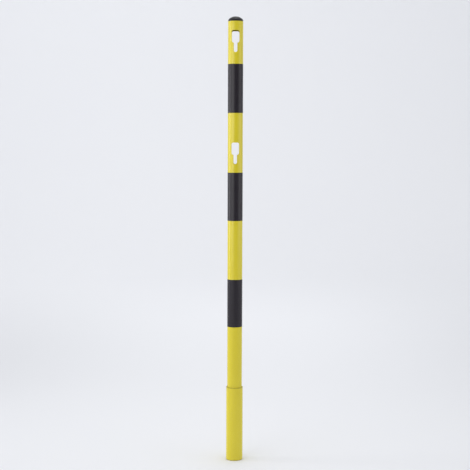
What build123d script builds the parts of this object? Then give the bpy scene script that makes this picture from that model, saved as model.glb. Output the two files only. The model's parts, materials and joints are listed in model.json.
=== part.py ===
"""Removable chain post: a round keyholed post that stands in a short ground socket.

Units are millimetres. +Z is up, the origin is the centre of the socket's underside, and the
keyhole slots run through the post along Y, with the front at -Y.
"""

import os
from math import acos, atan2, degrees, sqrt

from build123d import *

# ---------------------------------------------------------------- driving dimensions

SOCKET_OD = 38.1
SOCKET_WALL = 1.2
SOCKET_LENGTH = 170.0
SOCKET_EDGE = 0.3

BASE_PLUG_HEIGHT = 7.0
PAD_THICKNESS = 3.0
DRAIN_HOLE_D = 10.0

POST_OD = 34.0
POST_WALL = 1.6
POST_TUBE_TOP = 1000.0
FOOT_HEAD_HEIGHT = 4.0

KEYHOLE_HEIGHT = 48.5
KEYHOLE_WIDE = 16.8
KEYHOLE_WIDE_HEIGHT = 28.0
KEYHOLE_NARROW = 7.8
KEYHOLE_TOP_RADIUS = 4.0
KEYHOLE_SHOULDER_RADIUS = 5.3
KEYHOLE_NECK_RADIUS = 0.8
KEYHOLE_TOPS = (979.5, 729.5)

BAND_TOPS = {"upper_band": 905.0, "middle_band": 662.0, "lower_band": 419.0}
BAND_WIDTH = 109.0
BAND_THICKNESS = 0.2
BAND_LAP = 6.0

CAP_RIM = 0.5
CAP_DOME = 10.5
CAP_KNUCKLE_RADIUS = 7.0
CAP_STEM = 14.0
CAP_WALL = 2.0
CAP_RIB = 1.2
CAP_RIB_INSET = 3.0

FIN_INTERFERENCE = 0.05
FIN_THICKNESS = 1.0
FIN_PITCH = 3.5
FIN_DEPTH = 0.6
CAP_FINS = 3
CAP_FIN_INSET = 2.0
FOOT_FINS = 4
FOOT_FIN_INSET = 4.0

# ---------------------------------------------------------------- worked-out sizes

SOCKET_OUTER = SOCKET_OD / 2
SOCKET_BORE = SOCKET_OUTER - SOCKET_WALL
POST_OUTER = POST_OD / 2
POST_BORE = POST_OUTER - POST_WALL
DRAIN_RADIUS = DRAIN_HOLE_D / 2

PAD_TOP = BASE_PLUG_HEIGHT + PAD_THICKNESS
POST_TUBE_BOTTOM = PAD_TOP + FOOT_HEAD_HEIGHT
FIN_RADIUS = POST_BORE + FIN_INTERFERENCE
STEM_RADIUS = FIN_RADIUS - FIN_DEPTH


def fin_levels(first: float, count: int) -> list[float]:
    """Heights of the middles of a plug's holding fins, one pitch apart from the first."""
    return [first + FIN_PITCH * index for index in range(count)]


os.makedirs("parts", exist_ok=True)

# ---------------------------------------------------------------- ground socket

# Short round tube, open at both ends, with its sharp edges taken off.
with BuildPart() as socket_tube:
    with BuildSketch(Plane.XY):
        Circle(SOCKET_OUTER)
        Circle(SOCKET_BORE, mode=Mode.SUBTRACT)
    extrude(amount=SOCKET_LENGTH)
    outer_rims = socket_tube.edges().filter_by(GeomType.CIRCLE)
    chamfer(outer_rims.filter_by(lambda rim: rim.radius > SOCKET_BORE + SOCKET_WALL / 2), SOCKET_EDGE)
socket_tube.part.label = "socket_tube"
export_step(socket_tube.part, "parts/socket_tube.step")

# Moulded disc pressed into the bottom of the socket, with a drain hole.
BASE_PLUG_LEAD_IN = 1.0
with BuildPart() as base_plug:
    with BuildSketch(Plane.XY):
        Circle(SOCKET_BORE + FIN_INTERFERENCE)
    extrude(amount=BASE_PLUG_HEIGHT)
    chamfer(base_plug.edges().group_by(Axis.Z)[-1], BASE_PLUG_LEAD_IN)
    Hole(DRAIN_RADIUS)
base_plug.part.label = "base_plug"
export_step(base_plug.part, "parts/base_plug.step")

# Loose rubber disc that the post stands on, with radial drain channels in its top.
PAD_RADIUS = 16.5
PAD_CHANNEL_WIDTH = 2.0
PAD_CHANNEL_DEPTH = 1.0
PAD_CHANNELS = 4
PAD_CHANNEL_START = 45
PAD_EDGE = 0.5
with BuildPart() as landing_pad:
    with BuildSketch(Plane.XY.offset(BASE_PLUG_HEIGHT)):
        Circle(PAD_RADIUS)
    extrude(amount=PAD_THICKNESS)
    chamfer(landing_pad.edges().filter_by(GeomType.CIRCLE), PAD_EDGE)
    Hole(DRAIN_RADIUS)
    with BuildSketch(Plane.XY.offset(PAD_TOP)):
        with PolarLocations(PAD_RADIUS, PAD_CHANNELS, start_angle=PAD_CHANNEL_START):
            Rectangle(2 * (PAD_RADIUS - DRAIN_RADIUS / 2), PAD_CHANNEL_WIDTH)
    extrude(amount=-PAD_CHANNEL_DEPTH, mode=Mode.SUBTRACT)
landing_pad.part.label = "landing_pad"
export_step(landing_pad.part, "parts/landing_pad.step")

# Thin split liner sprung into the socket just below its mouth, which guides the post.
BUSH_RECESS = 3.0
BUSH_LENGTH = 20.0
BUSH_BORE = POST_OUTER + 0.3
BUSH_SPLIT = 2.0
with BuildPart() as guide_bush:
    with BuildSketch(Plane.XY.offset(SOCKET_LENGTH - BUSH_RECESS)):
        Circle(SOCKET_BORE)
        Circle(BUSH_BORE, mode=Mode.SUBTRACT)
        with Locations((0, SOCKET_BORE)):
            Rectangle(BUSH_SPLIT, SOCKET_BORE, mode=Mode.SUBTRACT)
    extrude(amount=-BUSH_LENGTH)
guide_bush.part.label = "guide_bush"
export_step(guide_bush.part, "parts/guide_bush.step")

# ---------------------------------------------------------------- post

# Steel tube with two keyholes cut straight through both walls. A chain link goes in at the
# wide upper part, a rounded window, and drops into the narrow round-ended slot under it.
# The shoulder and the neck are two arcs that bend by the same angle, one each way.
shoulder_width = (KEYHOLE_WIDE - KEYHOLE_NARROW) / 2
shoulder_turn = degrees(acos(1 - shoulder_width / (KEYHOLE_SHOULDER_RADIUS + KEYHOLE_NECK_RADIUS)))
with BuildPart() as post_tube:
    with BuildSketch(Plane.XY.offset(POST_TUBE_BOTTOM)):
        Circle(POST_OUTER)
        Circle(POST_BORE, mode=Mode.SUBTRACT)
    extrude(amount=POST_TUBE_TOP - POST_TUBE_BOTTOM)
    for top in KEYHOLE_TOPS:
        with BuildSketch(Plane.XZ):
            with BuildLine():
                head = Line((0, top), (KEYHOLE_WIDE / 2 - KEYHOLE_TOP_RADIUS, top))
                corner = JernArc(head @ 1, head % 1, KEYHOLE_TOP_RADIUS, -90)
                side = Line(
                    corner @ 1,
                    (KEYHOLE_WIDE / 2, top - KEYHOLE_WIDE_HEIGHT + KEYHOLE_SHOULDER_RADIUS),
                )
                shoulder = JernArc(side @ 1, side % 1, KEYHOLE_SHOULDER_RADIUS, -shoulder_turn)
                neck = JernArc(shoulder @ 1, shoulder % 1, KEYHOLE_NECK_RADIUS, shoulder_turn)
                slot = Line(
                    neck @ 1,
                    (KEYHOLE_NARROW / 2, top - KEYHOLE_HEIGHT + KEYHOLE_NARROW / 2),
                )
                JernArc(slot @ 1, slot % 1, KEYHOLE_NARROW / 2, -90)
                mirror(about=Plane.YZ)
            make_face()
        extrude(amount=POST_OD, both=True, mode=Mode.SUBTRACT)
post_tube.part.label = "post_tube"
export_step(post_tube.part, "parts/post_tube.step")

# The hollow under the cap's dome, left in four quarters by two crossed ribs.
CAP_RIM_TOP = POST_TUBE_TOP + CAP_RIM
CAP_TOP = CAP_RIM_TOP + CAP_DOME
CAP_STEM_BOTTOM = POST_TUBE_TOP - CAP_STEM
CAP_KNUCKLE_MIDDLE = POST_OUTER - CAP_KNUCKLE_RADIUS
CAP_CROWN_RADIUS = (CAP_KNUCKLE_MIDDLE**2 - CAP_KNUCKLE_RADIUS**2 + CAP_DOME**2) / (
    2 * (CAP_DOME - CAP_KNUCKLE_RADIUS)
)
CAP_CROWN_MIDDLE = CAP_TOP - CAP_CROWN_RADIUS
CAP_HOLLOW_CROWN = CAP_CROWN_RADIUS - CAP_WALL
CAP_HOLLOW_RADIUS = STEM_RADIUS - CAP_WALL
CAP_HOLLOW_TOP = CAP_CROWN_MIDDLE + sqrt(CAP_HOLLOW_CROWN**2 - CAP_HOLLOW_RADIUS**2)
with BuildPart() as cap_hollow:
    with BuildSketch(Plane.XZ):
        with BuildLine():
            RadiusArc(
                (0, CAP_TOP - CAP_WALL), (CAP_HOLLOW_RADIUS, CAP_HOLLOW_TOP), CAP_HOLLOW_CROWN
            )
            Polyline(
                (CAP_HOLLOW_RADIUS, CAP_HOLLOW_TOP),
                (CAP_HOLLOW_RADIUS, CAP_STEM_BOTTOM),
                (0, CAP_STEM_BOTTOM),
                (0, CAP_TOP - CAP_WALL),
            )
        make_face()
    revolve(axis=Axis.Z)
    with BuildSketch(Plane.XY.offset(CAP_STEM_BOTTOM + CAP_RIB_INSET)):
        Rectangle(POST_OD, CAP_RIB)
        Rectangle(CAP_RIB, POST_OD)
    extrude(amount=CAP_STEM + CAP_RIM + CAP_DOME, mode=Mode.SUBTRACT)

# Domed moulded cap: a low rim level with the tube, a shell dome that bends over a tight
# knuckle into a flatter crown, and a finned hollow stem.
knuckle_turn = degrees(atan2(CAP_RIM_TOP - CAP_CROWN_MIDDLE, CAP_KNUCKLE_MIDDLE))
with BuildPart() as top_cap:
    with BuildSketch(Plane.XZ):
        with BuildLine():
            knuckle = JernArc((POST_OUTER, CAP_RIM_TOP), (0, 1), CAP_KNUCKLE_RADIUS, knuckle_turn)
            RadiusArc((0, CAP_TOP), knuckle @ 1, CAP_CROWN_RADIUS)
            Polyline(
                (POST_OUTER, CAP_RIM_TOP),
                (POST_OUTER, POST_TUBE_TOP),
                (STEM_RADIUS, POST_TUBE_TOP),
                (STEM_RADIUS, CAP_STEM_BOTTOM),
                (0, CAP_STEM_BOTTOM),
                (0, CAP_TOP),
            )
        make_face()
        for level in fin_levels(CAP_STEM_BOTTOM + CAP_FIN_INSET, CAP_FINS):
            with Locations((STEM_RADIUS, level)):
                Rectangle(2 * FIN_DEPTH, FIN_THICKNESS)
    revolve(axis=Axis.Z)
    add(cap_hollow.part, mode=Mode.SUBTRACT)
top_cap.part.label = "top_cap"
export_step(top_cap.part, "parts/top_cap.step")

# Moulded plug that closes the foot of the tube: a bevelled head and a finned hollow stem,
# with a small drain hole up the middle.
FOOT_BEVEL = 1.5
FOOT_STEM = 20.0
FOOT_WALL = 3.0
FOOT_HEAD_RADIUS = POST_OUTER - 0.2
FOOT_DRAIN_RADIUS = 3.0
with BuildPart() as foot_plug:
    with BuildSketch(Plane.XZ):
        stem_top = POST_TUBE_BOTTOM + FOOT_STEM
        with BuildLine():
            Polyline(
                (FOOT_DRAIN_RADIUS, PAD_TOP),
                (FOOT_HEAD_RADIUS - FOOT_BEVEL, PAD_TOP),
                (FOOT_HEAD_RADIUS, PAD_TOP + FOOT_BEVEL),
                (FOOT_HEAD_RADIUS, POST_TUBE_BOTTOM),
                (STEM_RADIUS, POST_TUBE_BOTTOM),
                (STEM_RADIUS, stem_top),
                (STEM_RADIUS - FOOT_WALL, stem_top),
                (STEM_RADIUS - FOOT_WALL, POST_TUBE_BOTTOM + FOOT_WALL),
                (FOOT_DRAIN_RADIUS, POST_TUBE_BOTTOM + FOOT_WALL),
                close=True,
            )
        make_face()
        for level in fin_levels(POST_TUBE_BOTTOM + FOOT_FIN_INSET, FOOT_FINS):
            with Locations((STEM_RADIUS, level)):
                Rectangle(2 * FIN_DEPTH, FIN_THICKNESS)
    revolve(axis=Axis.Z)
foot_plug.part.label = "foot_plug"
export_step(foot_plug.part, "parts/foot_plug.step")

# Three bands of black tape, each wrapped once round the tube with its end lapped at the back.
for name, band_top in BAND_TOPS.items():
    with BuildPart() as band:
        with BuildSketch(Plane.XY.offset(band_top - BAND_WIDTH)):
            Circle(POST_OUTER + BAND_THICKNESS)
            Circle(POST_OUTER, mode=Mode.SUBTRACT)
        extrude(amount=BAND_WIDTH)
        with BuildSketch(Plane.XY.offset(band_top - BAND_WIDTH)):
            Circle(POST_OUTER + 2 * BAND_THICKNESS)
            Circle(POST_OUTER + BAND_THICKNESS, mode=Mode.SUBTRACT)
            with Locations((0, POST_OUTER)):
                Rectangle(BAND_LAP, BAND_LAP, mode=Mode.INTERSECT)
        extrude(amount=BAND_WIDTH)
    band.part.label = name
    export_step(band.part, f"parts/{name}.step")
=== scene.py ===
"""Looks of a removable chain post: a keyholed tube that stands in a short ground socket.

Every piece is a surface worked out as numpy arrays in metres, in the frame's own axes: +Z runs
up the post, the keyholes are cut along Y with the front at -Y, and the tape laps are at +Y.
"""

from __future__ import annotations

import json
import logging
import math
from dataclasses import dataclass, field
from enum import Enum

import bmesh
import bpy
import numpy as np
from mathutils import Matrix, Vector

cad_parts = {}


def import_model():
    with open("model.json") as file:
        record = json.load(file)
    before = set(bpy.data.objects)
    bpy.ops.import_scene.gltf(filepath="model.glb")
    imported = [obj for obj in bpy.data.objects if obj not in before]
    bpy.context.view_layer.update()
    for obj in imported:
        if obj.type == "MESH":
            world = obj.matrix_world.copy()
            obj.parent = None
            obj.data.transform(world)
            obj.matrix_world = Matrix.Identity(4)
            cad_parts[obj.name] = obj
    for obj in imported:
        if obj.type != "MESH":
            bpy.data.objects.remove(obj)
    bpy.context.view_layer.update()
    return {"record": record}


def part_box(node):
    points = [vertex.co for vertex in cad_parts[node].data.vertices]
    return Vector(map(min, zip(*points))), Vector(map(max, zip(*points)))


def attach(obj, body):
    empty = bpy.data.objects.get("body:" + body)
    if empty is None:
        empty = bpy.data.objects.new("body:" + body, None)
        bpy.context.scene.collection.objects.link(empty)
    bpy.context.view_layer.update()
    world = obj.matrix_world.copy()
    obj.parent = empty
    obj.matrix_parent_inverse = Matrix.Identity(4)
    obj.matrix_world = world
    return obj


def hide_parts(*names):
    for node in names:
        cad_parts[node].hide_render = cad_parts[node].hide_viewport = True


log = logging.getLogger("chain_post")

MM = 0.001
FULL_TURN = 2 * math.pi
FRONT = 1.5 * math.pi
BACK = 0.5 * math.pi
QUARTER_SWEEP = np.linspace(0, math.pi / 2, 5)
MERGE_DISTANCE = 0.002 * MM
TINY_EDGE = 0.0005 * MM
COATING_IOR = 1.5
NOISE_REACH = (0.3, 0.7)
SHEET_ROWS = 9
EDGE = "edge"
WRAP_UV = "wrap"


class Slot(Enum):
    """The record's material slots, by the finish that each one takes."""

    POWDER_COAT = "yellow_powder_coat"
    TAPE = "black_tape"
    CAP = "cap_plastic"
    FOOT = "foot_plastic"
    BASE_PLUG = "base_plug_plastic"
    BUSH = "bush_nylon"
    PAD = "pad_rubber"


class Body(Enum):
    """The bodies that move on their own."""

    SOCKET = "socket"
    PAD = "pad"
    POST = "post"


# ---------------------------------------------------------------- numbers and curves


def linear(colour: str) -> tuple[float, float, float, float]:
    """Turn an sRGB hex colour to the linear values that a shader takes.

    Args:
        colour: Six hex digits after a hash, such as "#D5C84C".

    Returns:
        Linear red, green and blue, with an alpha of one.
    """
    levels = [int(colour[at : at + 2], 16) / 255 for at in (1, 3, 5)]
    red, green, blue = (
        level / 12.92 if level <= 0.04045 else ((level + 0.055) / 1.055) ** 2.4 for level in levels
    )
    return red, green, blue, 1.0


def smooth(value: np.ndarray | float) -> np.ndarray | float:
    """Smooth step: 0 below 0, 1 above 1, and three squares less two cubes between."""
    held = np.clip(value, 0.0, 1.0)
    return held * held * (3 - 2 * held)


@dataclass
class Profile:
    """A line of points in a half plane, each with how much of an edge it is.

    Attributes:
        points: Rows of radius and height, in metres.
        edge: 1 on a rounded corner and 0 elsewhere, for each point.
    """

    points: np.ndarray
    edge: np.ndarray


def arc_between(start: np.ndarray, end: np.ndarray, centre: np.ndarray, steps: int) -> np.ndarray:
    """Points on the arc round a centre, from one point to another.

    Each point is the centre plus the two end spokes, weighted by the sines of the angle still
    to go and of the angle gone, over the sine of the whole angle.

    Args:
        start: First point.
        end: Last point.
        centre: Centre of the circle.
        steps: Number of equal steps along the arc.

    Returns:
        steps + 1 points.
    """
    first, last = start - centre, end - centre
    cosine = np.dot(first, last) / (np.linalg.norm(first) * np.linalg.norm(last))
    angle = math.acos(float(np.clip(cosine, -1, 1)))
    share = np.linspace(0, 1, steps + 1)[:, None]
    mixed = np.sin((1 - share) * angle) * first + np.sin(share * angle) * last
    return centre + mixed / math.sin(angle)


def rounded(
    corners: list[tuple[float, float, float]], closed: bool, spacing: float, steps: int = 5
) -> Profile:
    """Join corners by straight runs and round each corner with its own radius.

    A corner's arc starts and ends at its radius over the tangent of half the angle between the
    two runs, away from the corner, and its centre lies on the line that halves that angle.

    Args:
        corners: Radius, height and corner radius of each corner, in metres.
        closed: Whether the last corner runs back to the first.
        spacing: Longest step along a straight run.
        steps: Steps along each arc.

    Returns:
        The profile, with its arcs marked as edges.
    """
    count = len(corners)
    places = np.array([corner[:2] for corner in corners])
    arcs, marks = [], []
    for index, (radius, height, bend) in enumerate(corners):
        here = np.array([radius, height])
        if bend == 0 or (not closed and index in (0, count - 1)):
            arcs.append(here[None])
            marks.append(np.zeros(1))
            continue
        before = places[index - 1] - here
        after = places[(index + 1) % count] - here
        before, after = before / np.linalg.norm(before), after / np.linalg.norm(after)
        half = math.acos(float(np.clip(np.dot(before, after), -1, 1))) / 2
        middle = (before + after) / np.linalg.norm(before + after)
        reach = bend / math.tan(half)
        centre = here + middle * bend / math.sin(half)
        arcs.append(arc_between(here + before * reach, here + after * reach, centre, steps))
        marks.append(np.sin(np.linspace(0, math.pi, steps + 1)))
    points, edge = [], []
    for index in range(count):
        points.append(arcs[index])
        edge.append(marks[index])
        if index == count - 1 and not closed:
            break
        start, end = arcs[index][-1], arcs[(index + 1) % count][0]
        pieces = max(1, math.ceil(np.linalg.norm(end - start) / spacing))
        between = np.linspace(0, 1, pieces + 1)[1:-1, None]
        points.append(start + (end - start) * between)
        edge.append(np.zeros(len(between)))
    return Profile(np.concatenate(points), np.concatenate(edge))


def quads(rows: int, columns: int, wrap_rows: bool, wrap_columns: bool) -> np.ndarray:
    """Corner numbers of the four-sided faces of a grid of points.

    Args:
        rows: Number of rows of points.
        columns: Number of points in a row.
        wrap_rows: Whether the last row joins the first.
        wrap_columns: Whether each row's last point joins its first.

    Returns:
        One row of four point numbers for each face.
    """
    index = np.arange(rows * columns).reshape(rows, columns)
    if wrap_rows:
        index = np.concatenate([index, index[:1]], axis=0)
    if wrap_columns:
        index = np.concatenate([index, index[:, :1]], axis=1)
    corners = [index[:-1, :-1], index[:-1, 1:], index[1:, 1:], index[1:, :-1]]
    return np.stack(corners, axis=-1).reshape(-1, 4)


@dataclass
class Shell:
    """A closed surface, gathered from grids of points that meet at their borders."""

    points: list[np.ndarray] = field(default_factory=list)
    faces: list[np.ndarray] = field(default_factory=list)
    edges: list[np.ndarray] = field(default_factory=list)
    count: int = 0

    def add(
        self,
        grid: np.ndarray,
        edge: np.ndarray | float = 0.0,
        wrap_rows: bool = False,
        wrap_columns: bool = False,
        flip: bool = False,
    ) -> None:
        """Add a grid of points. A face looks along its row direction crossed with its column's.

        Args:
            grid: Points as rows, columns and three coordinates.
            edge: Edge mark of each point, or one for all.
            wrap_rows: Whether the last row joins the first.
            wrap_columns: Whether each row's last point joins its first.
            flip: Whether the faces look the other way.
        """
        rows, columns = grid.shape[:2]
        faces = quads(rows, columns, wrap_rows, wrap_columns)
        self.points.append(grid.reshape(-1, 3))
        self.faces.append((faces[:, ::-1] if flip else faces) + self.count)
        self.edges.append(np.broadcast_to(edge, (rows, columns)).reshape(-1))
        self.count += rows * columns

    def add_sheet(self, outer: np.ndarray, inner: np.ndarray) -> None:
        """Add a sheet with a thickness: two matching grids, joined along their four borders.

        Args:
            outer: Points of the side that faces out.
            inner: Points of the side that faces in, in the same order.
        """
        self.add(outer)
        self.add(inner, flip=True)
        self.add(np.stack([outer[0], inner[0]]), edge=0.5, flip=True)
        self.add(np.stack([outer[-1], inner[-1]]), edge=0.5)
        self.add(np.stack([outer[:, 0], inner[:, 0]]), edge=0.5)
        self.add(np.stack([outer[:, -1], inner[:, -1]]), edge=0.5, flip=True)

    def build(self, name: str, sharp_degrees: float = 40.0) -> bpy.types.Object:
        """Make the object, with its borders merged and its edge marks kept as an attribute.

        Args:
            name: The piece's name.
            sharp_degrees: Folds steeper than this stay sharp.

        Returns:
            The new object, at the origin.
        """
        mesh = bpy.data.meshes.new(name)
        points = np.concatenate(self.points)
        mesh.from_pydata(points.tolist(), [], np.concatenate(self.faces).tolist())
        marks = mesh.attributes.new(EDGE, "FLOAT", "POINT")
        marks.data.foreach_set("value", np.concatenate(self.edges).astype(np.float32))
        shape = bmesh.new()
        shape.from_mesh(mesh)
        bmesh.ops.remove_doubles(shape, verts=shape.verts, dist=MERGE_DISTANCE)
        bmesh.ops.dissolve_degenerate(shape, edges=shape.edges, dist=TINY_EDGE)
        shape.to_mesh(mesh)
        shape.free()
        mesh.shade_smooth()
        mesh.set_sharp_from_angle(angle=math.radians(sharp_degrees))
        piece = bpy.data.objects.new(name, mesh)
        bpy.context.scene.collection.objects.link(piece)
        return piece


def around(radius: np.ndarray, height: np.ndarray, angle: np.ndarray) -> np.ndarray:
    """Points at a radius, a height and an angle round the post's axis, from +X towards +Y."""
    return np.stack(
        np.broadcast_arrays(radius * np.cos(angle), radius * np.sin(angle), height), axis=-1
    )


def turned(profile: Profile, columns: int) -> tuple[np.ndarray, np.ndarray]:
    """Turn a profile once round the axis.

    Args:
        profile: Radius and height of each point. Run so that the outside is on its right.
        columns: Number of points round.

    Returns:
        The grid of points, with a row for each point of the profile, and their edge marks.
    """
    angle = np.linspace(0, FULL_TURN, columns, endpoint=False)
    grid = around(profile.points[:, :1], profile.points[:, 1:], angle[None])
    return grid, np.repeat(profile.edge[:, None], columns, axis=1)


# ---------------------------------------------------------------- materials


def add_node(
    material: bpy.types.Material | bpy.types.World,
    kind: str,
    inputs: dict[str | int, object] | None = None,
    **settings: object,
) -> bpy.types.Node:
    """Add a shader node with its settings, its fixed values and its links.

    Args:
        material: Whose node tree it joins.
        kind: The node's type, such as "ShaderNodeBump".
        inputs: Value of each named or numbered socket, or the output that feeds it.
        settings: The node's own properties.

    Returns:
        The new node.
    """
    tree = material.node_tree
    node = tree.nodes.new(kind)
    for name, value in settings.items():
        setattr(node, name, value)
    for socket, value in (inputs or {}).items():
        if isinstance(value, bpy.types.NodeSocket):
            tree.links.new(value, node.inputs[socket])
        else:
            node.inputs[socket].default_value = value
    return node


def new_material(name: str) -> bpy.types.Material:
    """An empty node material of that name."""
    material = bpy.data.materials.new(name)
    material.use_nodes = True
    material.node_tree.nodes.clear()
    return material


def object_spot(material: bpy.types.Material) -> bpy.types.NodeSocket:
    """Coordinates on the piece, in metres."""
    return add_node(material, "ShaderNodeTexCoord").outputs["Object"]


def edge_mark(material: bpy.types.Material) -> bpy.types.NodeSocket:
    """The edge mark of each point, kept on the mesh."""
    return add_node(material, "ShaderNodeAttribute", attribute_name=EDGE).outputs["Fac"]


def noise(
    material: bpy.types.Material, spot: bpy.types.NodeSocket, size_mm: float, **shape: float
) -> bpy.types.NodeSocket:
    """Cloudy noise between 0 and 1.

    Args:
        material: Whose node tree it joins.
        spot: Coordinates in metres.
        size_mm: Rough size of a blotch.
        shape: The noise's own Detail, Roughness or Distortion.

    Returns:
        The noise's output.
    """
    inputs = {"Vector": spot, "Scale": 1 / (size_mm * MM), **shape}
    return add_node(material, "ShaderNodeTexNoise", inputs).outputs["Fac"]


def remap(
    material: bpy.types.Material,
    value: bpy.types.NodeSocket,
    start: tuple[float, float],
    end: tuple[float, float],
) -> bpy.types.NodeSocket:
    """Stretch a value evenly from one range to another, and hold it within that.

    Args:
        material: Whose node tree it joins.
        value: The output to stretch.
        start: The range that it comes from.
        end: The range that it goes to.

    Returns:
        The stretched output.
    """
    names = ("From Min", "From Max", "To Min", "To Max")
    inputs = {"Value": value, **dict(zip(names, (*start, *end)))}
    return add_node(material, "ShaderNodeMapRange", inputs).outputs["Result"]


def blend(
    material: bpy.types.Material,
    share: bpy.types.NodeSocket,
    first: bpy.types.NodeSocket | str,
    second: str,
) -> bpy.types.NodeSocket:
    """Mix two colours.

    Args:
        material: Whose node tree it joins.
        share: How much of the second colour.
        first: A colour's output, or a hex colour.
        second: A hex colour.

    Returns:
        The mixed colour's output.
    """
    base = linear(first) if isinstance(first, str) else first
    inputs = {"Factor": share, 6: base, 7: linear(second)}
    return add_node(material, "ShaderNodeMix", inputs, data_type="RGBA").outputs[2]


def relief(
    material: bpy.types.Material, height: bpy.types.NodeSocket, strength: float, depth_mm: float
) -> bpy.types.NodeSocket:
    """Surface normals that follow a height.

    Args:
        material: Whose node tree it joins.
        height: The output that gives the height.
        strength: How much of it shows.
        depth_mm: The relief's depth at a height of 1.

    Returns:
        The normals' output.
    """
    inputs = {"Height": height, "Strength": strength, "Distance": depth_mm * MM}
    return add_node(material, "ShaderNodeBump", inputs).outputs["Normal"]


def finish_material(
    material: bpy.types.Material, inputs: dict[str | int, object]
) -> bpy.types.Material:
    """Give the material its shader, with these inputs."""
    shader = add_node(material, "ShaderNodeBsdfPrincipled", inputs)
    add_node(material, "ShaderNodeOutputMaterial", {"Surface": shader.outputs["BSDF"]})
    return material


@dataclass(frozen=True)
class PowderCoatedSteel:
    """Steel tube, sprayed with polyester powder and stoved: a closed satin skin.

    The powder flows as it melts, which leaves a shallow orange peel that breaks up
    reflections. It draws back from sharp edges, which look a little paler and duller. Where
    an edge mark is below zero, painted shade darkens it: this stands for the shadow along the
    socket's rims.
    """

    name: str = "powder_coated_steel"
    colour: str = "#DDCD33"
    deep_colour: str = "#D8C72D"
    thin_colour: str = "#E2D666"
    thin_share: float = 0.55
    # Painted shade: the darkened tone laid on the socket's rims, where edge marks are below zero.
    painted_shade_colour: str = "#4A4320"
    roughness: tuple[float, float] = (0.22, 0.28)
    peel_mm: float = 2.2
    peel_strength: float = 0.25
    peel_depth_mm: float = 0.06
    mottle_mm: float = 45.0
    speck_mm: float = 0.35

    def build(self) -> bpy.types.Material:
        """Make the material: colour, gloss and relief from noises of three sizes.

        Returns:
            The material, ready to assign.
        """
        material = new_material(self.name)
        spot, edge = object_spot(material), edge_mark(material)
        mottle = noise(material, spot, self.mottle_mm, Detail=3.0)
        tone = blend(material, mottle, self.colour, self.deep_colour)
        thin = remap(material, edge, (0.0, 1.0), (0.0, self.thin_share))
        skin = blend(material, thin, tone, self.thin_colour)
        # Painted shade: edge marks below zero blend the coat towards the shade colour.
        painted_shade = remap(material, edge, (0.0, -1.0), (0.0, 1.0))
        speck = noise(material, spot, self.speck_mm, Detail=1.0)
        peel = noise(material, spot, self.peel_mm, Detail=2.0, Roughness=0.45)
        return finish_material(
            material,
            {
                "Base Color": blend(material, painted_shade, skin, self.painted_shade_colour),
                "Roughness": remap(material, speck, NOISE_REACH, self.roughness),
                "Normal": relief(material, peel, self.peel_strength, self.peel_depth_mm),
                "IOR": COATING_IOR,
            },
        )


@dataclass(frozen=True)
class CalenderedVinylTape:
    """Soft vinyl film rolled between cylinders, wound on by hand under tension.

    It has a low, even sheen with the faintest grain, and hardly visible stretch streaks that
    run along the winding.
    """

    name: str = "calendered_vinyl_tape"
    colour: str = "#282429"
    stretched_colour: str = "#2C292E"
    roughness: tuple[float, float] = (0.267, 0.273)
    specular: float = 0.28
    grain_mm: float = 0.5
    grain_strength: float = 0.08
    grain_depth_mm: float = 0.05
    streak_mm: float = 3.0
    streak_stretch: float = 0.04
    streak_height: float = 0.08

    def build(self) -> bpy.types.Material:
        """Make the material: streaks and grain on the tape's own map, in metres.

        Returns:
            The material, ready to assign.
        """
        material = new_material(self.name)
        wrap = add_node(material, "ShaderNodeUVMap", uv_map=WRAP_UV).outputs["UV"]
        along = add_node(
            material,
            "ShaderNodeMapping",
            {"Vector": wrap, "Scale": (self.streak_stretch, 1.0, 1.0)},
        )
        streaks = noise(material, along.outputs["Vector"], self.streak_mm, Detail=3.0)
        grain = add_node(
            material,
            "ShaderNodeTexVoronoi",
            {"Vector": wrap, "Scale": 1 / (self.grain_mm * MM)},
            feature="SMOOTH_F1",
        )
        height = add_node(
            material,
            "ShaderNodeMath",
            {0: streaks, 1: self.streak_height, 2: grain.outputs["Distance"]},
            operation="MULTIPLY_ADD",
        ).outputs[0]
        return finish_material(
            material,
            {
                "Base Color": blend(material, streaks, self.colour, self.stretched_colour),
                "Roughness": remap(material, streaks, NOISE_REACH, self.roughness),
                "Normal": relief(material, height, self.grain_strength, self.grain_depth_mm),
                "Specular IOR Level": self.specular,
                "IOR": COATING_IOR,
            },
        )


@dataclass(frozen=True)
class MouldedPlastic:
    """Injection-moulded plastic or rubber with the fine even grain of a spark-eroded mould.

    The grain spreads the sheen, slow swirls in its colour show where the melt flowed, and
    edges are handled smoother.
    """

    name: str
    colour: str
    swirl_colour: str
    roughness: float
    specular: float = 0.5
    grain_mm: float = 0.4
    grain_strength: float = 0.25
    grain_depth_mm: float = 0.08
    swirl_mm: float = 9.0
    edge_polish: float = 0.8

    def build(self) -> bpy.types.Material:
        """Make the material: swirled colour, polished edges and a fine grain.

        Returns:
            The material, ready to assign.
        """
        material = new_material(self.name)
        spot, edge = object_spot(material), edge_mark(material)
        swirl = noise(material, spot, self.swirl_mm, Detail=4.0, Distortion=0.8)
        grain = noise(material, spot, self.grain_mm, Detail=2.0)
        gloss = (self.roughness, self.roughness * self.edge_polish)
        return finish_material(
            material,
            {
                "Base Color": blend(material, swirl, self.colour, self.swirl_colour),
                "Roughness": remap(material, edge, (0.0, 1.0), gloss),
                "Normal": relief(material, grain, self.grain_strength, self.grain_depth_mm),
                "Specular IOR Level": self.specular,
            },
        )


CAP_PLASTIC = MouldedPlastic("moulded_polyethylene_cap", "#121011", "#191718", 0.33, 0.38)
FOOT_PLASTIC = MouldedPlastic("moulded_polyethylene_foot", "#1C1C1D", "#242425", 0.5)
BASE_PLASTIC = MouldedPlastic("recycled_polyethylene", "#232426", "#2E2F31", 0.55)
BUSH_NYLON = MouldedPlastic("cut_nylon_strip", "#121213", "#18181A", 0.4, grain_mm=0.8)
PAD_RUBBER = MouldedPlastic("moulded_epdm_rubber", "#1B1B1B", "#232322", 0.75, specular=0.3)


# ---------------------------------------------------------------- pieces


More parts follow.
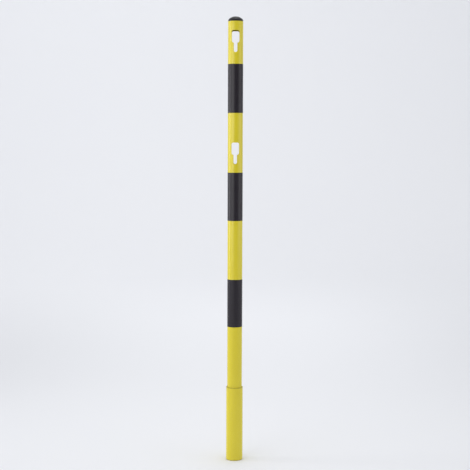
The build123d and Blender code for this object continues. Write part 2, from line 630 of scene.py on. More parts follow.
def place(
    piece: bpy.types.Object, body: Body, material: bpy.types.Material, node: str
) -> None:
    """Dress a piece and hang it on its body in place of a frame node.

    Args:
        piece: The finished object.
        body: The body that it moves with.
        material: Its material.
        node: The node that it stands for.
    """
    piece.data.materials.append(material)
    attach(piece, body.value)
    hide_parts(node)
    log.info("%s: %d faces, on %s", piece.name, len(piece.data.polygons), body.value)


@dataclass
class Keyhole:
    """Outline of the hole that holds the chain: a rounded window over a narrow slot.

    Attributes:
        height: Whole height.
        window: Width of the window.
        window_height: Height of the window.
        slot: Width of the slot, whose end is a half circle.
        top_radius: Radius of the window's upper corners.
        shoulder_radius: Radius of the window's lower corners.
        neck_radius: Radius where a shoulder turns down into the slot.
    """

    height: float = 48.5 * MM
    window: float = 16.8 * MM
    window_height: float = 28.0 * MM
    slot: float = 7.8 * MM
    top_radius: float = 4.0 * MM
    shoulder_radius: float = 5.3 * MM
    neck_radius: float = 0.8 * MM

    STEPS_TOP = 16
    STEPS_SIDE = 24
    STEPS_TOP_RUN = 6
    STEPS_CORNER = 8
    STEPS_WINDOW = 8
    STEPS_SHOULDER = 8
    STEPS_NECK = 4
    STEPS_SLOT = 12
    STEPS_SLOT_END = 10

    def outline(self) -> tuple[np.ndarray, np.ndarray]:
        """The outline, clockwise from the middle of its top, about its top edge's height.

        Straight runs are even steps, and a bend is a circle's cosine and sine. The shoulder
        and the neck turn by one angle, whose cosine is one less the shoulder's width over
        their two radii together.

        Returns:
            Points as width and height, and at each the unit direction away from the hole.
        """
        window, slot = self.window / 2, self.slot / 2
        shoulder_height = self.shoulder_radius - self.window_height
        turn = math.acos(1 - (window - slot) / (self.shoulder_radius + self.neck_radius))
        neck_height = shoulder_height - (self.shoulder_radius + self.neck_radius) * math.sin(turn)
        end_height = slot - self.height
        quarter = math.pi / 2
        runs = [
            self.run((0, 0), (window - self.top_radius, 0), (0, 1), self.STEPS_TOP_RUN),
            self.bend(
                (window - self.top_radius, -self.top_radius),
                self.top_radius,
                quarter,
                0,
                self.STEPS_CORNER,
            ),
            self.run(
                (window, -self.top_radius), (window, shoulder_height), (1, 0), self.STEPS_WINDOW
            ),
            self.bend(
                (window - self.shoulder_radius, shoulder_height),
                self.shoulder_radius,
                0,
                -turn,
                self.STEPS_SHOULDER,
            ),
            self.bend(
                (slot + self.neck_radius, neck_height),
                -self.neck_radius,
                -turn,
                0,
                self.STEPS_NECK,
            ),
            self.run((slot, neck_height), (slot, end_height), (1, 0), self.STEPS_SLOT),
            self.bend((0, end_height), slot, 0, -quarter, self.STEPS_SLOT_END),
        ]
        points = np.concatenate([run[0][:-1] for run in runs] + [runs[-1][0][-1:]])
        away = np.concatenate([run[1][:-1] for run in runs] + [runs[-1][1][-1:]])
        flip = np.array([-1.0, 1.0])
        left, left_away = points[-2:0:-1] * flip, away[-2:0:-1] * flip
        return np.concatenate([points, left]), np.concatenate([away, left_away])

    @staticmethod
    def run(
        start: tuple[float, float], end: tuple[float, float], away: tuple[float, float], steps: int
    ) -> tuple[np.ndarray, np.ndarray]:
        """Even steps along a straight run, with one direction away from the hole."""
        share = np.linspace(0, 1, steps + 1)[:, None]
        points = np.array(start) * (1 - share) + np.array(end) * share
        return points, np.repeat(np.array([away], float), steps + 1, axis=0)

    @staticmethod
    def bend(
        centre: tuple[float, float], radius: float, start: float, end: float, steps: int
    ) -> tuple[np.ndarray, np.ndarray]:
        """Even steps round a bend. A negative radius bends round the metal, not the hole."""
        angle = np.linspace(start, end, steps + 1)
        spoke = np.stack([np.cos(angle), np.sin(angle)], axis=1)
        return np.array(centre) + radius * spoke, spoke


@dataclass
class ChainPost:
    """The post: the keyholed tube, its cap, its foot plug and three bands of tape."""

    wall: float = 1.6 * MM
    lip: float = 0.4 * MM
    inner_lip: float = 0.25 * MM
    end_round: float = 0.3 * MM
    patch_margin: float = 4.0 * MM
    row_spacing: float = 15.0 * MM
    patch_loops: int = 6
    patch_ease: float = 1.25
    seam_height: float = 0.25 * MM
    seam_reach: float = 0.9 * MM
    columns: int = 128
    keyhole: Keyhole = field(default_factory=Keyhole)
    keyhole_mounts: tuple[str, ...] = ("lower_keyhole", "upper_keyhole")

    cap_rim: float = 0.5 * MM
    cap_knuckle: float = 7.0 * MM
    cap_wall: float = 2.0 * MM
    cap_rib: float = 1.2 * MM
    cap_rib_inset: float = 3.0 * MM
    cap_seat_gap: float = 0.08 * MM
    cap_fins: int = 3
    cap_fin_inset: float = 2.0 * MM
    cap_hollow_round: float = 0.3 * MM
    cap_seat_round: float = 0.15 * MM
    cap_rib_sink: float = 0.2 * MM
    cap_hollow_points: int = 14
    cap_knuckle_points: int = 14
    cap_crown_points: int = 36
    stem_round: float = 0.5 * MM
    gate_radius: float = 1.9 * MM
    gate_slope: float = 0.4 * MM
    gate_depth: float = 0.3 * MM
    stub_radius: float = 0.9 * MM
    stub_slope: float = 0.3 * MM
    stub_height: float = 0.2 * MM
    fin_depth: float = 0.6 * MM
    fin_thickness: float = 1.0 * MM
    fin_pitch: float = 3.5 * MM
    fin_clearance: float = 0.02 * MM
    fin_round: float = 0.15 * MM
    fin_flat: float = 0.6
    foot_fins: int = 4
    foot_fin_inset: float = 4.0 * MM
    foot_drain: float = 3.0 * MM
    foot_wall: float = 3.0 * MM
    foot_bevel: float = 1.5 * MM
    foot_round: float = 0.3 * MM
    foot_floor_round: float = 1.0 * MM
    foot_seat_gap: float = 0.05 * MM

    band_thickness: float = 0.2 * MM
    band_lap: float = 6.0 * MM
    band_drift: float = 0.35 * MM
    band_wave: float = 0.05 * MM
    band_waves: int = 3
    band_gap: float = 0.01 * MM
    band_press: float = 0.97
    band_climb_lead: float = 0.07
    band_climb: float = 0.06
    band_lap_columns: int = 8
    band_phase: float = 1.7
    bands: tuple[str, ...] = ("upper_band", "middle_band", "lower_band")

    def __post_init__(self) -> None:
        """Take the tube's size and place from the frame."""
        low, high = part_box("post_tube")
        self.radius = high.x
        self.bore = self.radius - self.wall
        self.bottom, self.top = low.z, high.z

    def keyhole_tops(self, record: dict) -> list[float]:
        """Heights of the keyholes' top edges, from the record's mounts at their middles."""
        middles = {mount["name"]: mount["pos_m"][2] for mount in record["mounts"]}
        return [middles[name] + self.keyhole.height / 2 for name in self.keyhole_mounts]

    def bore_radius(self, angle: np.ndarray) -> np.ndarray:
        """Radius of the bore: a circle, less a bell-shaped bead where the tube was welded."""
        across = (np.mod(angle + math.pi, FULL_TURN) - math.pi) * self.bore
        return self.bore - self.seam_height * np.exp(-((across / self.seam_reach) ** 2))

    def tube(self, record: dict) -> bpy.types.Object:
        """The tube: plain grids above, between and under the keyholes, and a patch round each.

        Args:
            record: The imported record, for the heights of the keyholes.

        Returns:
            The tube, closed round its ends and through its keyholes.
        """
        shell = Shell()
        angle = np.linspace(0, FULL_TURN, self.columns, endpoint=False)
        level = self.bottom + self.end_round
        patch = self.patch_margin
        for top in self.keyhole_tops(record):
            under, over = top - self.keyhole.height - patch, top + patch
            self.add_plain(shell, angle, level, under)
            self.add_pierced(shell, top, under, over)
            level = over
        self.add_plain(shell, angle, level, self.top - self.end_round)
        for end, way in ((self.bottom, -1), (self.top, 1)):
            self.add_end(shell, angle, end, way)
        return shell.build("post_tube_skin")

    def add_plain(self, shell: Shell, angle: np.ndarray, low: float, high: float) -> None:
        """Add an unbroken stretch of tube between two heights, outside and inside.

        Args:
            shell: The shell that it joins.
            angle: Angles of the columns.
            low: Height of the stretch's bottom.
            high: Height of its top.
        """
        rows = max(1, round((high - low) / self.row_spacing))
        height = np.linspace(low, high, rows + 1)[:, None]
        radius = np.full((rows + 1, 1), self.radius)
        shell.add(around(radius, height, angle[None]), wrap_columns=True)
        bore = self.bore_radius(angle)[None]
        shell.add(around(bore, height, angle[None]), wrap_columns=True, flip=True)

    def add_end(self, shell: Shell, angle: np.ndarray, height: float, way: int) -> None:
        """Add a cut end of the tube: a flat ring between two rounded rims.

        Args:
            shell: The shell that it joins.
            angle: Angles of the columns.
            height: Height of the end.
            way: 1 for the top end, -1 for the bottom end.
        """
        sweep = QUARTER_SWEEP
        rim = self.end_round
        inset = rim * (1 - np.cos(sweep))
        drop = rim * (1 - np.sin(sweep))
        outer = self.radius - inset
        inner = self.bore_radius(angle)[None] + inset[::-1, None]
        radius = np.concatenate([np.repeat(outer[:, None], len(angle), 1), inner])
        height_rows = height - way * np.concatenate([drop, drop[::-1]])[:, None]
        grid = around(radius, height_rows, angle[None])
        marks = np.concatenate([np.sin(2 * sweep), np.sin(2 * sweep)])[:, None]
        shell.add(grid, edge=marks, wrap_columns=True, flip=way < 0)

    def add_pierced(self, shell: Shell, top: float, low: float, high: float) -> None:
        """Add the stretch of tube that a keyhole is cut through, front and back.

        Args:
            shell: The shell that it joins.
            top: Height of the keyhole's top edge.
            low: Height of the stretch's bottom.
            high: Height of its top.
        """
        half = self.keyhole.STEPS_TOP
        step = FULL_TURN / self.columns
        height = np.linspace(high, low, self.keyhole.STEPS_SIDE + 1)
        for facing in (FRONT, BACK):
            self.add_patch(shell, facing, top, height, half * step)
            side = facing + half * step
            span = self.columns // 2 - 2 * half
            angle = side + step * np.arange(span + 1)
            bore = self.bore_radius(angle)[None]
            rows = height[::-1, None]
            shell.add(around(np.full((len(height), 1), self.radius), rows, angle[None]))
            shell.add(around(bore, rows, angle[None]), flip=True)

    def add_patch(
        self, shell: Shell, facing: float, top: float, height: np.ndarray, half_angle: float
    ) -> None:
        """Add the patch of tube round one mouth of a keyhole, with half of the cut wall.

        The outline lies flat across the post, so a point of it sits on a wall at the angle
        whose sine is its width over the wall's radius. The patch runs from the outline to a
        frame of the tube's own columns and rows in even shares of angle and height. The cut
        edge is carried from the outer wall to the inner: a rounded lip, the wall, and a
        smaller lip, each a quarter circle of outline offset against radius.

        Args:
            shell: The shell that it joins.
            facing: Angle of the keyhole's middle round the post.
            top: Height of the keyhole's top edge.
            height: Heights of the frame's rows, from the top down.
            half_angle: Half of the frame's width, as an angle.
        """
        outline, away = self.keyhole.outline()
        frame_angle, frame_height = self.patch_frame(height, half_angle)
        share = np.linspace(0, 1, self.patch_loops)[:, None] ** self.patch_ease

        def loop(offset: np.ndarray, radius: np.ndarray) -> tuple[np.ndarray, np.ndarray]:
            """Angle and height of the outline, moved away from the hole, on a wall."""
            moved = outline[None] + offset[:, None, None] * away[None]
            return np.arcsin(moved[..., 0] / radius[:, None]), moved[..., 1] + top

        for radius, lip, flip in (
            (self.radius, self.lip, False),
            (self.bore, self.inner_lip, True),
        ):
            angle, level = loop(np.array([lip]), np.array([radius]))
            mixed_angle = angle * (1 - share) + frame_angle * share
            mixed_level = level * (1 - share) + frame_height * share
            grid = around(np.full_like(mixed_angle, radius), mixed_level, facing + mixed_angle)
            shell.add(grid, wrap_columns=True, flip=flip)
        sweep = QUARTER_SWEEP
        offset = np.concatenate(
            [self.lip * (1 - np.sin(sweep)), self.inner_lip * (1 - np.sin(sweep[::-1]))]
        )
        radius = np.concatenate(
            [
                self.radius - self.lip * (1 - np.cos(sweep)),
                self.bore + self.inner_lip * (1 - np.cos(sweep[::-1])),
            ]
        )
        marks = np.concatenate([np.sin(2 * sweep), np.sin(2 * sweep)])[:, None]
        angle, level = loop(offset, radius)
        wall = around(radius[:, None], level, facing + angle)
        shell.add(wall, edge=marks, wrap_columns=True, flip=True)

    def patch_frame(self, height: np.ndarray, half_angle: float) -> tuple[np.ndarray, np.ndarray]:
        """Angles and heights round a patch's frame, clockwise from the middle of its top.

        Args:
            height: Heights of the frame's rows, from the top down.
            half_angle: Half of the frame's width, as an angle.

        Returns:
            The angle and the height of each point.
        """
        steps = self.keyhole.STEPS_TOP
        across = np.linspace(0, half_angle, steps + 1)
        right_angle = np.concatenate(
            [across, np.full(len(height) - 2, half_angle), across[::-1]]
        )
        right_height = np.concatenate(
            [np.full(steps, height[0]), height, np.full(steps, height[-1])]
        )
        return (
            np.concatenate([right_angle, -right_angle[-2:0:-1]]),
            np.concatenate([right_height, right_height[-2:0:-1]]),
        )

    def finned(self, low: float, count: int, stem: float, tip: float) -> list[tuple]:
        """Corners of a stem's outside with its holding fins, from the bottom up.

        Args:
            low: Height of the middle of the lowest fin.
            count: Number of fins.
            stem: Radius of the stem.
            tip: Radius of the fins.

        Returns:
            Radius, height and corner radius of each corner.
        """
        half, bend = self.fin_thickness / 2, self.fin_round
        flat = half * self.fin_flat
        corners = []
        for level in (low + self.fin_pitch * index for index in range(count)):
            corners += [
                (stem, level - half, bend),
                (tip, level - flat, bend),
                (tip, level + flat, bend),
                (stem, level + half, bend),
            ]
        return corners

    def cap(self) -> bpy.types.Object:
        """The cap: a shell dome on a short rim, over a finned hollow stem with crossed ribs.

        The dome is two arcs turned round the axis: a tight knuckle that leaves the rim
        upright, and a flatter crown that it meets without a break, so the crown's radius is
        the knuckle's plus the distance between their two centres. Its middle carries the
        mould's gate: a shallow round dimple with a stub in it, both smooth steps of the radius.

        Returns:
            The cap.
        """
        low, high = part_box("top_cap")
        rim_top = self.top + self.cap_rim
        rise, knuckle = high.z - rim_top, self.cap_knuckle
        inset = self.radius - knuckle
        crown = (inset**2 - knuckle**2 + rise**2) / (2 * (rise - knuckle))
        centre = high.z - crown
        lean = math.atan2(inset, rim_top - centre)
        stem = self.bore - self.fin_depth
        hollow = stem - self.cap_wall
        inside = np.linspace(0, hollow, self.cap_hollow_points)
        vault = centre + np.sqrt((crown - self.cap_wall) ** 2 - inside**2)
        ceiling = np.stack([inside, vault], axis=1)
        seat, foot = self.top + self.cap_seat_gap, low.z
        tip = self.bore - self.fin_clearance
        stem_corners = [
            (hollow, ceiling[-1, 1], 0.0),
            (hollow, foot, self.cap_hollow_round),
            (stem, foot, self.stem_round),
            *self.finned(foot + self.cap_fin_inset, self.cap_fins, stem, tip),
            (stem, seat, 0.0),
            (self.radius, seat, self.cap_seat_round),
            (self.radius, rim_top, 0.0),
        ]
        middle = rounded(stem_corners, closed=False, spacing=3 * MM)
        fold = np.linspace(math.pi / 2, lean, self.cap_knuckle_points)[1:-1]
        bow = np.linspace(lean, 0, self.cap_crown_points)
        across = np.concatenate([inset + knuckle * np.sin(fold), crown * np.sin(bow)])
        dome = np.concatenate([rim_top + knuckle * np.cos(fold), centre + crown * np.cos(bow)])
        dome = dome - self.gate_depth * smooth((self.gate_radius - across) / self.gate_slope)
        dome = dome + self.stub_height * smooth((self.stub_radius - across) / self.stub_slope)
        outside = np.stack([across, dome], axis=1)
        points = np.concatenate([ceiling[:-1], middle.points, outside])
        plain = np.zeros(len(ceiling) - 1), np.zeros(len(outside))
        edge = np.concatenate([plain[0], middle.edge, plain[1]])
        shell = Shell()
        grid, marks = turned(Profile(points, edge), self.columns)
        shell.add(grid, edge=marks, wrap_columns=True)
        self.add_ribs(shell, ceiling, foot + self.cap_rib_inset)
        return shell.build("top_cap_moulding")

    def add_ribs(self, shell: Shell, ceiling: np.ndarray, low: float) -> None:
        """Add the two crossed ribs inside the cap, each a thin upright sheet.

        A rib's top follows the ceiling of the hollow, and its ends run down the hollow's side,
        both sunk a little way into it, so that the rib grows out of the moulding.

        Args:
            shell: The shell that it joins.
            ceiling: Radius and height of the hollow's ceiling, from the middle outwards.
            low: Height of the ribs' lower edge.
        """
        sunk, half = self.cap_rib_sink, self.cap_rib / 2
        across = ceiling[:, 0] * (1 + sunk / ceiling[-1, 0])
        across = np.concatenate([-across[:0:-1], across])
        upper = np.concatenate([ceiling[:0:-1, 1], ceiling[:, 1]]) + sunk
        share = np.linspace(0, 1, SHEET_ROWS)[:, None]
        level = low + (upper[None] - low) * share
        along = np.broadcast_to(across[None], level.shape)
        side = np.full_like(level, half)
        shell.add_sheet(
            np.stack([along, -side, level], axis=-1), np.stack([along, side, level], axis=-1)
        )
        shell.add_sheet(
            np.stack([side, along, level], axis=-1), np.stack([-side, along, level], axis=-1)
        )

    def foot(self) -> bpy.types.Object:
        """The foot plug: a bevelled head under the tube and a finned stem inside it.

        Returns:
            The foot plug, with its drain hole.
        """
        low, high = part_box("foot_plug")
        head = high.x
        stem = self.bore - self.fin_depth
        drain, wall = self.foot_drain, self.foot_wall
        bevel, bend = self.foot_bevel, self.foot_round
        tip = self.bore - self.fin_clearance
        seat = self.bottom - self.foot_seat_gap
        corners = [
            (drain, seat + wall, bend),
            (drain, low.z, bend),
            (head - bevel, low.z, bend),
            (head, low.z + bevel, bend),
            (head, seat, bend),
            (stem, seat, 0.0),
            *self.finned(self.bottom + self.foot_fin_inset, self.foot_fins, stem, tip),
            (stem, high.z, self.stem_round),
            (stem - wall, high.z, bend),
            (stem - wall, seat + wall, self.foot_floor_round),
        ]
        shell = Shell()
        grid, marks = turned(rounded(corners, closed=True, spacing=4 * MM), self.columns)
        shell.add(grid, edge=marks, wrap_rows=True, wrap_columns=True)
        return shell.build("foot_plug_moulding")

    def band(self, node: str, turn: float) -> bpy.types.Object:
        """One band of tape, wound once round the tube and lapped over its own start.

        The angle runs one whole turn and the lap. The radius rises by one thickness in a
        smooth step where the end climbs over the start, and the height drifts evenly along
        the winding, with a slow wave where the hand pulled unevenly.

        Args:
            node: The frame node of the band.
            turn: Phase of its slow wave, so that no two bands are alike.

        Returns:
            The band, with a UV map in metres along and across the tape.
        """
        low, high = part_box(node)
        lap = self.band_lap / self.radius
        steps = self.columns + self.band_lap_columns
        angle = np.linspace(BACK - lap / 2, BACK + lap / 2 + FULL_TURN, steps + 1)
        gone = angle - angle[0]
        climb = smooth((gone - FULL_TURN + self.band_climb_lead) / self.band_climb)
        inner = self.radius + self.band_gap + climb * (self.band_thickness + self.band_gap / 2)
        outer = inner + self.band_thickness * self.band_press
        share = gone / gone[-1]
        wave = self.band_wave * np.sin(self.band_waves * gone + turn)
        drift = self.band_drift * (share - 0.5) + wave
        level = low.z + (high.z - low.z) * np.linspace(0, 1, SHEET_ROWS)[:, None] + drift[None]
        shell = Shell()
        shell.add_sheet(
            around(outer[None], level, angle[None]), around(inner[None], level, angle[None])
        )
        piece = shell.build(f"{node}_tape")
        self.unwrap(piece)
        return piece

    def unwrap(self, piece: bpy.types.Object) -> None:
        """Give a band a UV map: metres round the post from the front, and metres up it.

        A face keeps its corners together: each takes the whole turn that brings it nearest
        to the face's first corner.

        Args:
            piece: The band.
        """
        mesh = piece.data
        points = np.empty(len(mesh.vertices) * 3)
        mesh.vertices.foreach_get("co", points)
        points = points.reshape(-1, 3)
        corners = np.empty(len(mesh.loops), dtype=np.int64)
        mesh.loops.foreach_get("vertex_index", corners)
        starts = np.empty(len(mesh.polygons), dtype=np.int64)
        mesh.polygons.foreach_get("loop_start", starts)
        sizes = np.empty(len(mesh.polygons), dtype=np.int64)
        mesh.polygons.foreach_get("loop_total", sizes)
        angle = np.arctan2(points[:, 1], points[:, 0]) + math.pi / 2
        angle = np.mod(angle + math.pi, FULL_TURN)[corners]
        first = np.repeat(angle[starts], sizes)
        angle = angle + FULL_TURN * np.round((first - angle) / FULL_TURN)
        uv = np.stack([angle * self.radius, points[corners, 2]], axis=1)
        layer = mesh.uv_layers.new(name=WRAP_UV)
        layer.data.foreach_set("uv", uv.reshape(-1).astype(np.float32))

    def build(self, record: dict, finishes: dict[Slot, bpy.types.Material]) -> None:
        """Build, dress and place every piece of the post.

        Args:
            record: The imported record.
            finishes: The material of each slot.
        """
        coat, tape = finishes[Slot.POWDER_COAT], finishes[Slot.TAPE]
        place(self.tube(record), Body.POST, coat, "post_tube")
        place(self.cap(), Body.POST, finishes[Slot.CAP], "top_cap")
        place(self.foot(), Body.POST, finishes[Slot.FOOT], "foot_plug")
        for index, node in enumerate(self.bands):
            band = self.band(node, self.band_phase * index)
            place(band, Body.POST, tape, node)


@dataclass
class GroundSocket:
    """The socket: its tube, the plug in its bottom, the liner in its mouth and the loose pad."""

    wall: float = 1.2 * MM
    rim_round: float = 0.4 * MM
    mouth_round: float = 0.3 * MM
    end_round: float = 0.25 * MM
    # Painted shade on the socket's outer rims: its depth, its reach, its extra rows, and the skin
    # that keeps it off the bore.
    painted_shade: float = 0.45
    painted_shade_reach: float = 2.0 * MM
    painted_shade_rows: tuple[float, ...] = (1.0, 0.66, 0.33)
    painted_shade_skin: float = 0.1 * MM
    base_gap: float = 0.02 * MM
    base_bevel: float = 1.0 * MM
    base_edge_round: float = 0.4 * MM
    base_bevel_round: float = 0.3 * MM
    base_drain_round: float = 0.6 * MM
    bush_wall: float = 0.5 * MM
    bush_gap: float = 1.0 * MM
    bush_clearance: float = 0.03 * MM
    bush_lead_in: float = 0.25 * MM
    bush_lead_share: float = 0.06
    drain: float = 5.0 * MM
    channel: float = 2.0 * MM
    channel_depth: float = 1.0 * MM
    channel_slope: float = 0.15
    channels: int = 4
    between_points: int = 26
    pad_bevel: float = 0.5 * MM
    pad_drain_round: float = 0.3 * MM
    columns: int = 144

    def __post_init__(self) -> None:
        """Take the socket's size from the frame."""
        low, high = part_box("socket_tube")
        self.radius = high.x
        self.bore = self.radius - self.wall
        self.bottom, self.top = low.z, high.z

    def tube(self) -> bpy.types.Object:
        """The socket's tube: a turned ring whose cut ends are rounded, more so outside.

        Extra corners without a bend carry painted shade on the outer wall, which falls off as a
        smooth step of the distance from the nearer end. It stands for the shadow line at the mouth
        and the contact shadow at the foot.

        Returns:
            The tube, with its painted shade as edge marks below zero.
        """
        rim, reach = self.rim_round, self.painted_shade_reach
        steps = [reach * share for share in self.painted_shade_rows]
        corners = [
            (self.bore, self.bottom, self.end_round),
            (self.radius, self.bottom, rim),
            *((self.radius, self.bottom + rim + step, 0.0) for step in reversed(steps)),
            *((self.radius, self.top - rim - step, 0.0) for step in steps),
            (self.radius, self.top, rim),
            (self.bore, self.top, self.mouth_round),
        ]
        profile = rounded(corners, closed=True, spacing=12 * MM)
        radius, height = profile.points[:, 0], profile.points[:, 1]
        away = np.minimum(height - self.bottom, self.top - height) - rim
        # Painted shade: darkest at the mouth and the foot, for the shadow at the rim and the
        # contact shadow on the floor.
        painted_shade = smooth(1 - away / reach) * (radius > self.bore + self.painted_shade_skin)
        shell = Shell()
        grid, _ = turned(profile, self.columns)
        marks = np.repeat(-self.painted_shade * painted_shade[:, None], self.columns, axis=1)
        shell.add(grid, edge=marks, wrap_rows=True, wrap_columns=True)
        return shell.build("socket_tube_skin")

    def base(self) -> bpy.types.Object:
        """The plug pressed into the socket's bottom: a disc with a drain hole.

        Returns:
            The plug.
        """
        low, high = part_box("base_plug")
        rim, bevel = self.bore - self.base_gap, self.base_bevel
        corners = [
            (self.drain, low.z, self.base_edge_round),
            (rim, low.z, self.base_edge_round),
            (rim, high.z - bevel, self.base_bevel_round),
            (rim - bevel, high.z, self.base_bevel_round),
            (self.drain, high.z, self.base_drain_round),
        ]
        shell = Shell()
        grid, marks = turned(rounded(corners, closed=True, spacing=3 * MM), self.columns)
        shell.add(grid, edge=marks, wrap_rows=True, wrap_columns=True)
        return shell.build("base_plug_moulding")

    def bush(self) -> bpy.types.Object:
        """The liner: a strip bent into a ring inside the socket's mouth, split at the back.

        Its inside opens out at the top by a smooth step of the height, to lead the post in.

        Returns:
            The liner.
        """
        low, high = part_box("guide_bush")
        outer = self.bore - self.bush_clearance
        gap = self.bush_gap / outer
        angle = np.linspace(BACK + gap, BACK + FULL_TURN - gap, self.columns + 1)[None]
        share = np.linspace(0, 1, SHEET_ROWS)[:, None]
        level = low.z + (high.z - low.z) * share
        lead_in = self.bush_lead_in * smooth((share - 1) / self.bush_lead_share + 1)
        inner = outer - self.bush_wall + lead_in
        shell = Shell()
        shell.add_sheet(
            around(np.full_like(level, outer), level, angle), around(inner, level, angle)
        )
        return shell.build("guide_bush_strip")

    def pad(self) -> bpy.types.Object:
        """The loose pad: a disc with a drain hole and channels pressed into its top.

        Columns run along the channels, so that their walls stay straight: a column beside a
        channel keeps its distance from the channel's middle line, as the angle whose sine is
        that distance over the radius, and the columns between two channels share the rest.

        Returns:
            The pad.
        """
        low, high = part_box("landing_pad")
        outer, hole, bevel = high.x, self.drain, self.pad_bevel
        floor = high.z - self.channel_depth
        profile = rounded(
            [
                (hole, high.z, 0.0),
                (hole, low.z, self.pad_drain_round),
                (outer, low.z, bevel),
                (outer, high.z, bevel),
                (hole, high.z, 0.0),
            ],
            closed=False,
            spacing=1.2 * MM,
        )
        half = self.channel / 2
        near = np.array([1 - self.channel_slope, 1.0, 1 + self.channel_slope])
        sides = np.concatenate([-near[::-1], [0.0], near]) * half
        share = (near[-1] * half - np.abs(sides)) / (2 * self.channel_slope * half)
        depth = smooth(np.clip(share, 0, 1))
        radius, level = profile.points[:, :1], profile.points[:, 1:]
        beside = np.arcsin(sides[None] / radius)
        between = np.linspace(0, 1, self.between_points)[1:-1][None]
        sector = FULL_TURN / self.channels
        rest = beside[:, -1:] + (sector - 2 * beside[:, -1:]) * between
        angles = np.concatenate([beside, rest], axis=1)
        depths = np.concatenate([depth, np.zeros(between.shape[1])])[None]
        starts = math.pi / 4 + sector * np.arange(self.channels)
        angle = np.concatenate([angles + start for start in starts], axis=1)
        sunk = np.tile(depths, (1, self.channels))
        lowered = np.minimum(level, floor + (high.z - floor) * (1 - sunk))
        grid = around(np.broadcast_to(radius, angle.shape), lowered, angle)
        shell = Shell()
        shell.add(grid, edge=profile.edge[:, None], wrap_columns=True)
        return shell.build("landing_pad_disc")

    def build(self, finishes: dict[Slot, bpy.types.Material]) -> None:
        """Build, dress and place every piece of the socket.

        Args:
            finishes: The material of each slot.
        """
        coat = finishes[Slot.POWDER_COAT]
        place(self.tube(), Body.SOCKET, coat, "socket_tube")
        place(
            self.base(), Body.SOCKET, finishes[Slot.BASE_PLUG], "base_plug"
        )
        place(self.bush(), Body.SOCKET, finishes[Slot.BUSH], "guide_bush")
        place(self.pad(), Body.PAD, finishes[Slot.PAD], "landing_pad")


# ---------------------------------------------------------------- studio


@dataclass(frozen=True)
class StudioPaint:
    """Matt painted studio wall without gloss, clouded very faintly by the roller."""

    name: str = "matt_studio_paint"
    colour: str = "#E8E9EB"
    clouded_colour: str = "#E6E7EA"
    cloud_mm: float = 1000 / 0.6
    roughness: float = 0.95

    def build(self) -> bpy.types.Material:
        """Make the material: two near shades in clouds wider than a roller's reach.

        Returns:
            The material, ready to assign.
        """
        material = new_material(self.name)
        cloud = noise(material, object_spot(material), self.cloud_mm, Detail=2.0)
        return finish_material(
            material,
            {
                "Base Color": blend(material, cloud, self.colour, self.clouded_colour),
                "Roughness": self.roughness,
                "Specular IOR Level": 0.0,
            },
        )


@dataclass(frozen=True)
class Lamp:
    """A soft rectangular lamp that isn't seen by the camera.

    Attributes:
        name: Its name.
        at: Where its middle hangs.
        aim: The point that it faces.
        size: Its width and height.
        radiance: How bright it looks without its grid, where 1 is paper white.
        spread: Angle that its light spreads through, in degrees. A honeycomb grid narrows it.
    """

    name: str
    at: tuple[float, float, float]
    aim: tuple[float, float, float]
    size: tuple[float, float]
    radiance: float
    spread: float = 180.0

    def build(self) -> None:
        """Hang the lamp and turn it to its aim."""
        width, height = self.size
        data = bpy.data.lights.new(self.name, "AREA")
        data.shape = "RECTANGLE"
        data.size, data.size_y = width, height
        data.energy = self.radiance * math.pi * width * height
        data.spread = math.radians(self.spread)
        lamp = bpy.data.objects.new(self.name, data)
        lamp.location = self.at
        way = Vector(self.aim) - Vector(self.at)
        lamp.rotation_euler = way.to_track_quat("-Z", "Y").to_euler()
        lamp.visible_camera = False
        bpy.context.scene.collection.objects.link(lamp)


@dataclass(frozen=True)
class Panel:
    """An upright soft panel with a honeycomb grid, square to the line from the post to it.

    Attributes:
        name: Its name.
        start: Angle of its near edge from the camera's side, seen from the post, in degrees.
            Left of the camera is positive.
        end: Angle of its far edge.
        distance: How far it stands from the post, in metres.
        low: Height of its lower edge.
        high: Height of its upper edge.
        radiance: How bright it looks without its grid, where 1 is paper white.
        spread: Angle that its light spreads through, in degrees.
    """

    name: str
    start: float
    end: float
    distance: float
    low: float
    high: float
    radiance: float
    spread: float = 110.0

    def build(self) -> None:
        """Hang the panel as a lamp that faces the post's axis at its own height."""
        turn = math.radians(self.start + self.end) / 2
        half = math.radians(self.end - self.start) / 2
        middle = (self.low + self.high) / 2
        at = (-self.distance * math.sin(turn), -self.distance * math.cos(turn), middle)
        size = (2 * self.distance * math.tan(half), self.high - self.low)
        Lamp(self.name, at, (0, 0, middle), size, self.radiance, self.spread).build()


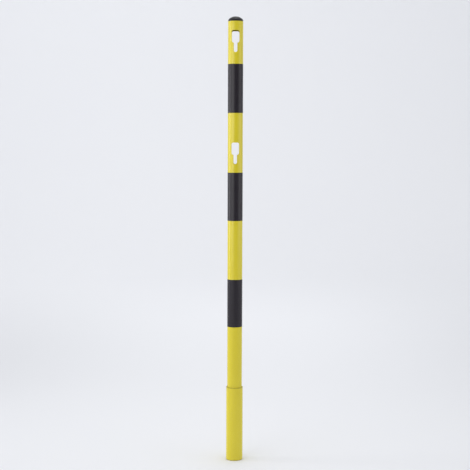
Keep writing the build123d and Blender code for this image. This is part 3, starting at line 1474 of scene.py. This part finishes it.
@dataclass
class Studio:
    """A round cove with soft panels beside it and lamps over it, under an even pale sky."""

    floor_radius: float = 3.6
    cove_radius: float = 2.0
    cove_height: float = 2.3
    columns: int = 96
    rings: int = 12
    sweep_steps: int = 19
    panels: tuple[Panel, ...] = (
        Panel("left_soft_box", 15.5, 70.0, 2.1, 0.25, 1.5, 0.74),
        Panel("left_strip_box", 84.0, 100.0, 1.8, 0.25, 1.5, 1.6),
        Panel("right_reflector", -100.0, -52.0, 1.9, 0.25, 1.25, 0.4),
    )
    sky_colour: str = "#F2F3F6"
    sky_strength: float = 0.94
    lamps: tuple[Lamp, ...] = (
        Lamp("backdrop_lamp", (-0.6, 2.6, 3.1), (-0.3, 5.6, 1.4), (2.2, 1.0), 4.8),
        Lamp("overhead_grid_box", (0.08, 0.8, 3.2), (0.08, 0.8, 0.0), (0.8, 3.4), 0.2, 40.0),
        Lamp("cove_grid_box", (-0.7, 1.6, 3.2), (-0.7, 1.4, 0.0), (3.0, 2.4), 0.08, 70.0),
    )
    dark_span: float = math.radians(34)
    dark_turn: float = math.radians(-8)
    dark_distance: float = 4.2
    dark_height: float = 2.4
    dark_low: float = 0.02
    dark_thickness: float = 0.02
    dark_columns: int = 24
    lens: float = 85.0
    camera_side: float = -0.0007
    camera_back: float = 2.5165
    camera_height: float = 0.7388
    camera_tilt: float = math.radians(4.97)
    camera_roll: float = math.radians(-0.19)
    nearest: float = 0.05
    farthest: float = 60.0

    def cove(self) -> None:
        """The floor and the wall round it: a flat disc, a quarter circle and a straight rise."""
        disc = np.linspace(0, self.floor_radius, self.rings)
        sweep = np.linspace(0, math.pi / 2, self.sweep_steps + 1)[1:]
        radius = np.concatenate([disc, self.floor_radius + self.cove_radius * np.sin(sweep)])
        height = np.concatenate([0 * disc, self.cove_radius * (1 - np.cos(sweep))])
        radius = np.append(radius, radius[-1])
        height = np.append(height, self.cove_height)
        profile = Profile(np.stack([radius[::-1], height[::-1]], axis=1), np.zeros(len(radius)))
        shell = Shell()
        grid, marks = turned(profile, self.columns)
        shell.add(grid, edge=marks, wrap_columns=True)
        piece = shell.build("studio_cove")
        piece.data.materials.append(StudioPaint().build())

    def dark_side(self) -> None:
        """The unlit side of the room behind the camera: a bent dark screen."""
        turn = FRONT - self.dark_turn
        span = np.linspace(-self.dark_span, self.dark_span, self.dark_columns + 1)
        angle = turn + span[None]
        height = np.linspace(self.dark_low, self.dark_height, 3)[:, None]
        near = np.full_like(height, self.dark_distance)
        far = near + self.dark_thickness
        shell = Shell()
        shell.add_sheet(around(far, height, angle), around(near, height, angle))
        piece = shell.build("studio_dark_side")
        piece.data.materials.append(
            StudioPaint("matt_dark_studio_paint", "#5A5B5E", "#626366").build()
        )

    def sky(self) -> None:
        """The even pale light from above."""
        world = bpy.data.worlds.new("pale_sky")
        world.use_nodes = True
        world.node_tree.nodes.clear()
        sky = add_node(
            world,
            "ShaderNodeBackground",
            {"Color": linear(self.sky_colour), "Strength": self.sky_strength},
        )
        add_node(world, "ShaderNodeOutputWorld", {"Surface": sky.outputs["Background"]})
        bpy.context.scene.world = world

    def camera(self) -> None:
        """The camera: level with the upper part of the post, tilted a little down."""
        data = bpy.data.cameras.new("camera")
        data.lens = self.lens
        data.clip_start, data.clip_end = self.nearest, self.farthest
        eye = bpy.data.objects.new("camera", data)
        eye.location = (self.camera_side, -self.camera_back, self.camera_height)
        eye.rotation_euler = (math.pi / 2 - self.camera_tilt, self.camera_roll, 0.0)
        bpy.context.scene.collection.objects.link(eye)
        bpy.context.scene.camera = eye

    def build(self) -> None:
        """Set up the camera, the room and the lights, and show colours as they are."""
        self.camera()
        self.cove()
        self.dark_side()
        self.sky()
        for light in (*self.panels, *self.lamps):
            light.build()
        bpy.context.scene.view_settings.view_transform = "Standard"


def main() -> None:
    """Load the frame and build the studio, the socket and the post round it."""
    logging.basicConfig(level=logging.INFO, format="%(name)s: %(message)s")
    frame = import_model()
    finishes = {
        Slot.POWDER_COAT: PowderCoatedSteel().build(),
        Slot.TAPE: CalenderedVinylTape().build(),
        Slot.CAP: CAP_PLASTIC.build(),
        Slot.FOOT: FOOT_PLASTIC.build(),
        Slot.BASE_PLUG: BASE_PLASTIC.build(),
        Slot.BUSH: BUSH_NYLON.build(),
        Slot.PAD: PAD_RUBBER.build(),
    }
    Studio().build()
    GroundSocket().build(finishes)
    ChainPost().build(frame["record"], finishes)


if __name__ == "__main__":
    main()
